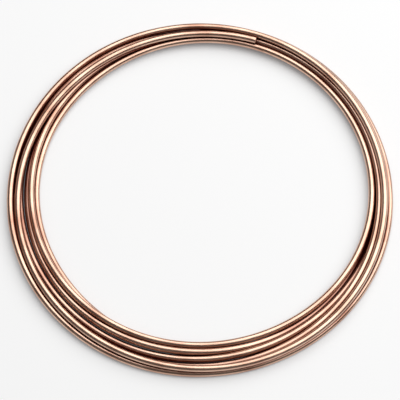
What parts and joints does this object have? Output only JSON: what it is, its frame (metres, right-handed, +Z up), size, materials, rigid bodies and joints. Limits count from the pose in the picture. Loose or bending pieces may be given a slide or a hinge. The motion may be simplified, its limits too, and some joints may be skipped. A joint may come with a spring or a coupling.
{
  "type": "coil of brake line tubing",
  "caption": "Soft copper-nickel hydraulic line tubing, wound into a loose flat-lying ring with one cut end on top.",
  "frame": {"origin": "on the floor under the centre of the coil", "axes": "+Z up along the coil's axis; the free end lies towards +Y and a little towards +X"},
  "size_m": [0.37, 0.37, 0.018],
  "materials": {
    "copper_nickel": "satin"
  },
  "bodies": {
    "root": {"tubing": "copper_nickel"}
  },
  "joints": []
}
